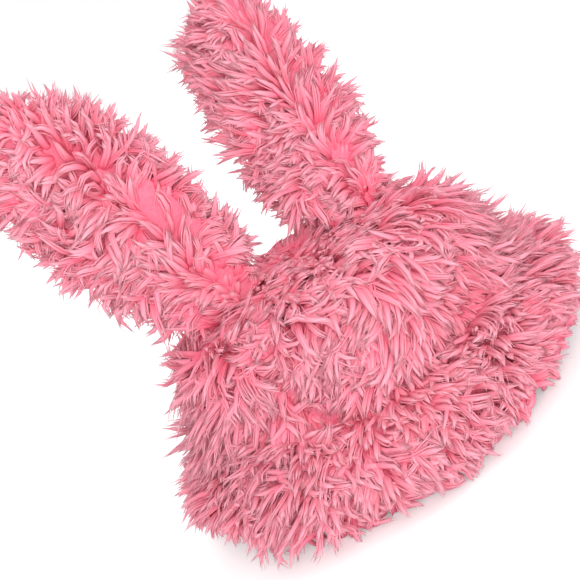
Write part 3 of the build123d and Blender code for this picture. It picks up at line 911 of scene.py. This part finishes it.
def stitches(name, path, away, pitch=0.0034):
    """Stitches along a closed path of points: each a six-sided bead that bows out of the cloth, along away,
    and narrows to both ends. Its middle line is a chord of the path plus a sine arch."""
    run = np.concatenate(([0], np.cumsum(np.linalg.norm(np.diff(path, axis=0), axis=1))))
    many = int(run[-1] / pitch)
    t = np.linspace(0, 1, 5)
    at = (np.arange(many)[:, None] + 0.10 + 0.80 * t[None]) * pitch
    middle = np.stack([np.interp(at, run, path[:, i]) for i in range(3)], -1)
    out = unit(np.stack([np.interp(at, run, away[:, i]) for i in range(3)], -1))
    middle = middle + out * (0.00022 * np.sin(np.pi * t))[None, :, None]
    along = unit(np.gradient(middle, axis=1))
    across = np.cross(along, out)
    thick = 0.00026 * (0.35 + 0.65 * np.sin(np.pi * t))[None, :, None, None]
    angle = np.arange(6) * np.pi / 3
    corners = middle[:, :, None] + thick * (
        np.cos(angle)[:, None] * across[:, :, None] + np.sin(angle)[:, None] * out[:, :, None]
    )
    k, side_of = np.arange(4)[:, None] * 6, np.arange(6)[None]
    n = (side_of + 1) % 6
    quads = np.stack((k + side_of, k + 6 + side_of, k + 6 + n, k + n), -1).reshape(-1, 4)
    one = np.concatenate((quads.ravel(), np.arange(6), np.arange(29, 23, -1)))
    sizes = np.concatenate((np.full(24, 4), [6, 6]))
    up_quads = np.stack((k, k + 6, k + 6, k), -1).repeat(6, 1).ravel() / 24
    u = np.concatenate((up_quads, np.zeros(6), np.ones(6)))
    v = np.concatenate((
        np.stack((side_of, side_of, side_of + 1, side_of + 1), -1).repeat(4, 0).ravel() / 6,
        np.arange(6) / 6, np.arange(6) / 6,
    ))
    faces = (one[None] + (np.arange(many) * 30)[:, None]).ravel()
    uv = np.tile(np.stack((u, v), -1), (many, 1))
    return mesh_piece(name, corners.reshape(-1, 3), faces, np.tile(sizes, many), uv, thread.owner)


lining_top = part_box("crown_band_front_lining")[1][2]
high_end = (lining_top - joint_z) / (tip_z - joint_z)
for half_name, (start, end) in (("front", FRONT), ("back", BACK)):
    turn, high = np.meshgrid(np.linspace(start, end, 109), np.linspace(0.0, high_end, 27))
    flat_points = crown_wall(turn, high, np.zeros_like(turn))[0]
    pucker = 0.0009 * drift(flat_points * (1, 1, 0.25), 0.016, 61)[..., 0] * np.sin(np.pi * high / high_end)
    pucker *= np.sin(turn) ** 2
    outer = crown_wall(turn, high, -layers_in + pucker - lining_drop)[0]
    inner = crown_wall(turn, high, -layers_in - lining_thick + pucker - lining_drop)[0]
    piece = quilt(f"crown_band_{half_name}_lining_cloth", inner, outer, lining.owner, mapped=True)
    belongs([piece], "hat")
    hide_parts(f"crown_band_{half_name}_lining")

    turn, run = np.meshgrid(np.linspace(start, end, 121), np.linspace(-0.0065, brim_width + 0.0040, 22))
    outward = np.stack((np.cos(turn), np.sin(turn), 0 * turn), -1)
    tucked = np.minimum(run, 0)[..., None] * (outward - (0, 0, 0.6))
    flat_points = brim_top(turn, run, 0.0 * run)[0]
    pucker = 0.0008 * drift(flat_points, 0.020, 62)[..., 0] * np.sin(np.pi * run / brim_width) * (run > 0)
    pucker *= np.sin(turn) ** 2
    on_brim = np.clip(run, 0, brim_width)
    outer, _, tangent = brim_top(turn, on_brim, -layers_in + pucker - facing_drop)
    inner = brim_top(turn, on_brim, -layers_in - lining_thick + pucker - facing_drop)[0]
    beyond = np.maximum(run - brim_width, 0)[..., None] * tangent
    outer, inner = outer + tucked + beyond, inner + tucked + beyond
    piece = quilt(f"brim_{half_name}_facing_cloth", inner, outer, lining.owner, mapped=True)
    belongs([piece], "hat")
    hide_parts(f"brim_under_{half_name}_facing")

lining_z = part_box("crown_tip_lining")[0][2]
turn, share = np.meshgrid(np.linspace(0, 2 * np.pi, 109)[:-1], np.linspace(0.001, 1.013, 21))
half = np.array(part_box("crown_tip_lining")[1][:2])
flat = oval(half, turn) * share[..., None]
sag = 0.0012 * drift(np.concatenate((flat, 0 * turn[..., None]), -1), 0.03, 63)[..., 0]
sag = sag * np.maximum(1 - share**4, 0) - 0.0006
under = np.concatenate((flat, (lining_z + np.minimum(sag, 0))[..., None]), -1)
piece = quilt(
    "crown_tip_lining_cloth", under, under + (0, 0, lining_thick), lining.owner, wraps=True, mapped=True
)
# Its map is its plan: the under face in the map's lower half and the upper face in the other.
corner = np.empty(len(piece.data.loops), np.int32)
piece.data.loops.foreach_get("vertex_index", corner)
spot = np.concatenate((under.reshape(-1, 3), under.reshape(-1, 3)))[corner, :2] / half
above_half = (corner >= under.shape[0] * under.shape[1])[:, None] * (0, 0.52)
flat_map = np.clip(spot * 0.5 + 0.5, 0, 1) * (1, 0.48) + above_half
piece.data.uv_layers["OFBake"].data.foreach_set("uv", flat_map.ravel())
belongs([piece], "hat")
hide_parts("crown_tip_lining")
np.pi * half.prod()

turn = np.linspace(0, 2 * np.pi, 721)
for name, in_from_edge in (("brim_edge_stitching", 0.004), ("brim_edge_stitching_inner", 0.010)):
    run, out = brim_width - in_from_edge, -layers_in - lining_thick - facing_drop - 0.0001
    path, normal, _ = brim_top(turn, np.full(turn.shape, run), np.full(turn.shape, out))
    piece = stitches(name, path, -normal)
    belongs([piece], "hat")

# ---------------------------------------------------------------- sweatband
# A ribbed ribbon sewn inside the crown, just above the brim, with a row of stitches
# along each edge. Its ribs run up and down.
ribbon = Finish(bpy.data.materials.new("ribbed_ribbon"))
round_way, up_way = ribbon.chart()
rib = round_way * (2 * np.pi * 430)
rib = 0.5 + 0.5 * rib.math("SINE", rib)
picks = ribbon.value(
    "TexNoise", {"noise_dimensions": "2D"}, Scale=1.0, Detail=2.0,
    Vector=ribbon.value("CombineXYZ", X=round_way * 430.0, Y=up_way * 120.0),
)
wear = ribbon.value("TexNoise", None, Vector=ribbon.value("TexCoord", None, 3), Scale=22.0, Detail=3.0)
# The ribs are paler on their crests and darker between them, as painted light and painted shade; the picks
# and the wear are the ribbon's own.
band_colour = ribbon.value(
    "ValToRGB",
    {"stops": [(0.1, colour("B75A72")), (0.5, colour("CE748A")), (0.9, colour("DD8FA1"))]},
    Fac=0.45 * rib + 0.25 * picks + 0.30 * wear,
)
raised = ribbon.value("Bump", None, Height=0.8 * rib + 0.2 * picks, Strength=0.6, Distance=0.0004)
ribbed = ribbon.node(
    "BsdfPrincipled", Base_Color=band_colour, Roughness=0.62, Specular_IOR_Level=0.3, Sheen_Weight=0.1,
    Normal=raised,
)
ribbon.surface(ribbed)

band_low, band_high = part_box("sweatband")[0][2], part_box("sweatband")[1][2]
band_out = -layers_in - lining_thick - 0.0007
turn, high = np.meshgrid(
    np.linspace(0, 2 * np.pi, 289)[:-1] + np.pi / 2,
    np.linspace(0.0004, band_high - joint_z, 13) / (tip_z - joint_z),
)
edge_roll = 0.0003 * np.cos(np.pi * high * (tip_z - joint_z) / (band_high - joint_z)) ** 6
wave = 0.0003 * drift(crown_wall(turn, high, 0 * high)[0] * (1, 1, 0.3), 0.03, 64)[..., 0]
outer = crown_wall(turn, high, band_out - edge_roll + np.minimum(wave, 0))[0]
inner = crown_wall(turn, high, band_out - 0.0009 - edge_roll + np.minimum(wave, 0))[0]
sweat = quilt("sweatband_ribbon", inner, outer, ribbon.owner, wraps=True, mapped=True)
belongs([sweat], "hat")
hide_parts("sweatband")
turn = np.linspace(0, 2 * np.pi, 721)
for row, z in (("lower", band_low + 0.0028), ("upper", band_high - 0.0022)):
    high = np.full(turn.shape, (z - joint_z) / (tip_z - joint_z))
    path, normal = crown_wall(turn, high, np.full(turn.shape, band_out - 0.0012))
    piece = stitches(f"sweatband_stitching_{row}", path, -normal, 0.0038)
    belongs([piece], "hat")

# ---------------------------------------------------------------- care label
# A blank loop of satin ribbon folded at the bottom, its two ends caught under the
# sweatband's upper edge at the back.
label = Finish(bpy.data.materials.new("label_satin"))
over_way, down_way = label.chart()
floats = label.value(
    "TexNoise", {"noise_dimensions": "2D"}, Scale=1.0, Detail=3.0,
    Vector=label.value("CombineXYZ", X=over_way * 90.0, Y=down_way * 8.0),
)
selvage = (over_way * 2 - 1).math("ABSOLUTE", over_way * 2 - 1)
selvage = selvage.math("GREATER_THAN", selvage, 0.93)
white = label.value(
    "ValToRGB", {"stops": [(0.2, colour("E4E0DA")), (0.7, colour("F6F4F0"))]}, Fac=floats - 0.25 * selvage
)
glossy = label.value("Bump", None, Height=floats + 0.6 * selvage, Strength=0.3, Distance=0.0002)
silky = label.node("BsdfPrincipled", Base_Color=white, Roughness=0.38, Specular_IOR_Level=0.5, Normal=glossy)
label.surface(silky)

label_low, label_high = (np.array(c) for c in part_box("care_label"))
width_of, drop, skin = label_high[0] - label_low[0], label_high[2] - label_low[2], 0.00016
x, down = np.meshgrid(np.linspace(-width_of / 2, width_of / 2, 17), np.linspace(0, 2 * drop, 61))
fold = 0.0006
depth = np.minimum(down, 2 * drop - down)
nearer = np.tanh((down - drop) / fold)
opening = fold + 0.0016 * np.clip(depth / drop, 0, 1) ** 2 * (x / width_of + 0.8)
y = (label_low[1] + label_high[1]) / 2 - opening * np.where(nearer > 0, nearer, 0.0)
y -= 0.0010 * (depth / drop) ** 2
y -= 0.0008 * (2 * x / width_of) ** 2 * depth / drop
loop = np.stack((x, y, label_high[2] - depth), -1)
down_loop = unit(np.gradient(loop, axis=0))
square = unit(np.cross(unit(np.gradient(loop, axis=1)), down_loop))
tag = quilt("care_label_loop", loop - skin * square, loop + skin * square, label.owner, mapped=True)
belongs([tag], "hat")
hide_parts("care_label")

# ---------------------------------------------------------------- wadding, foam, felt and wire inside
# The padding between fur and lining, the foam that stiffens the brim, the felt patches
# that the ears are sewn to and the plastic-covered wires that hold the ears' bends.
for name, dark, pale, grain, rough, deep_of, nodes in (
    ("wadding_fibre", "DDDBD6", "F2F1ED", 260.0, 0.95, 0.0015, ("crown_tip_wadding", "crown_band_wadding")),
    ("laminated_foam", "D9D6CB", "EBE8DE", 1400.0, 0.85, 0.0003, ("brim_foam",)),
    (
        "pressed_felt", "C9647E", "DE8297", 900.0, 0.95, 0.0004,
        ("ear_left_anchor_patch", "ear_right_anchor_patch"),
    ),
    ("wire_cover", "E2DFD9", "EFEDE8", 120.0, 0.45, 0.0001, ("ear_left_wire", "ear_right_wire")),
):
    stuff = Finish(bpy.data.materials.new(name))
    fluff = stuff.value(
        "TexNoise", None, Vector=stuff.value("TexCoord", None, 3), Scale=grain, Detail=4.0, Roughness=0.65
    )
    tone_of = stuff.value("ValToRGB", {"stops": [(0.3, colour(dark)), (0.7, colour(pale))]}, Fac=fluff)
    lumps = stuff.value("Bump", None, Height=fluff, Strength=0.6, Distance=deep_of)
    filling = stuff.node("BsdfPrincipled", Base_Color=tone_of, Roughness=rough, Normal=lumps)
    stuff.surface(filling)
    for node in nodes:
        for material_slot in bpy.data.objects[node].material_slots:
            material_slot.material = stuff.owner

low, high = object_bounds()
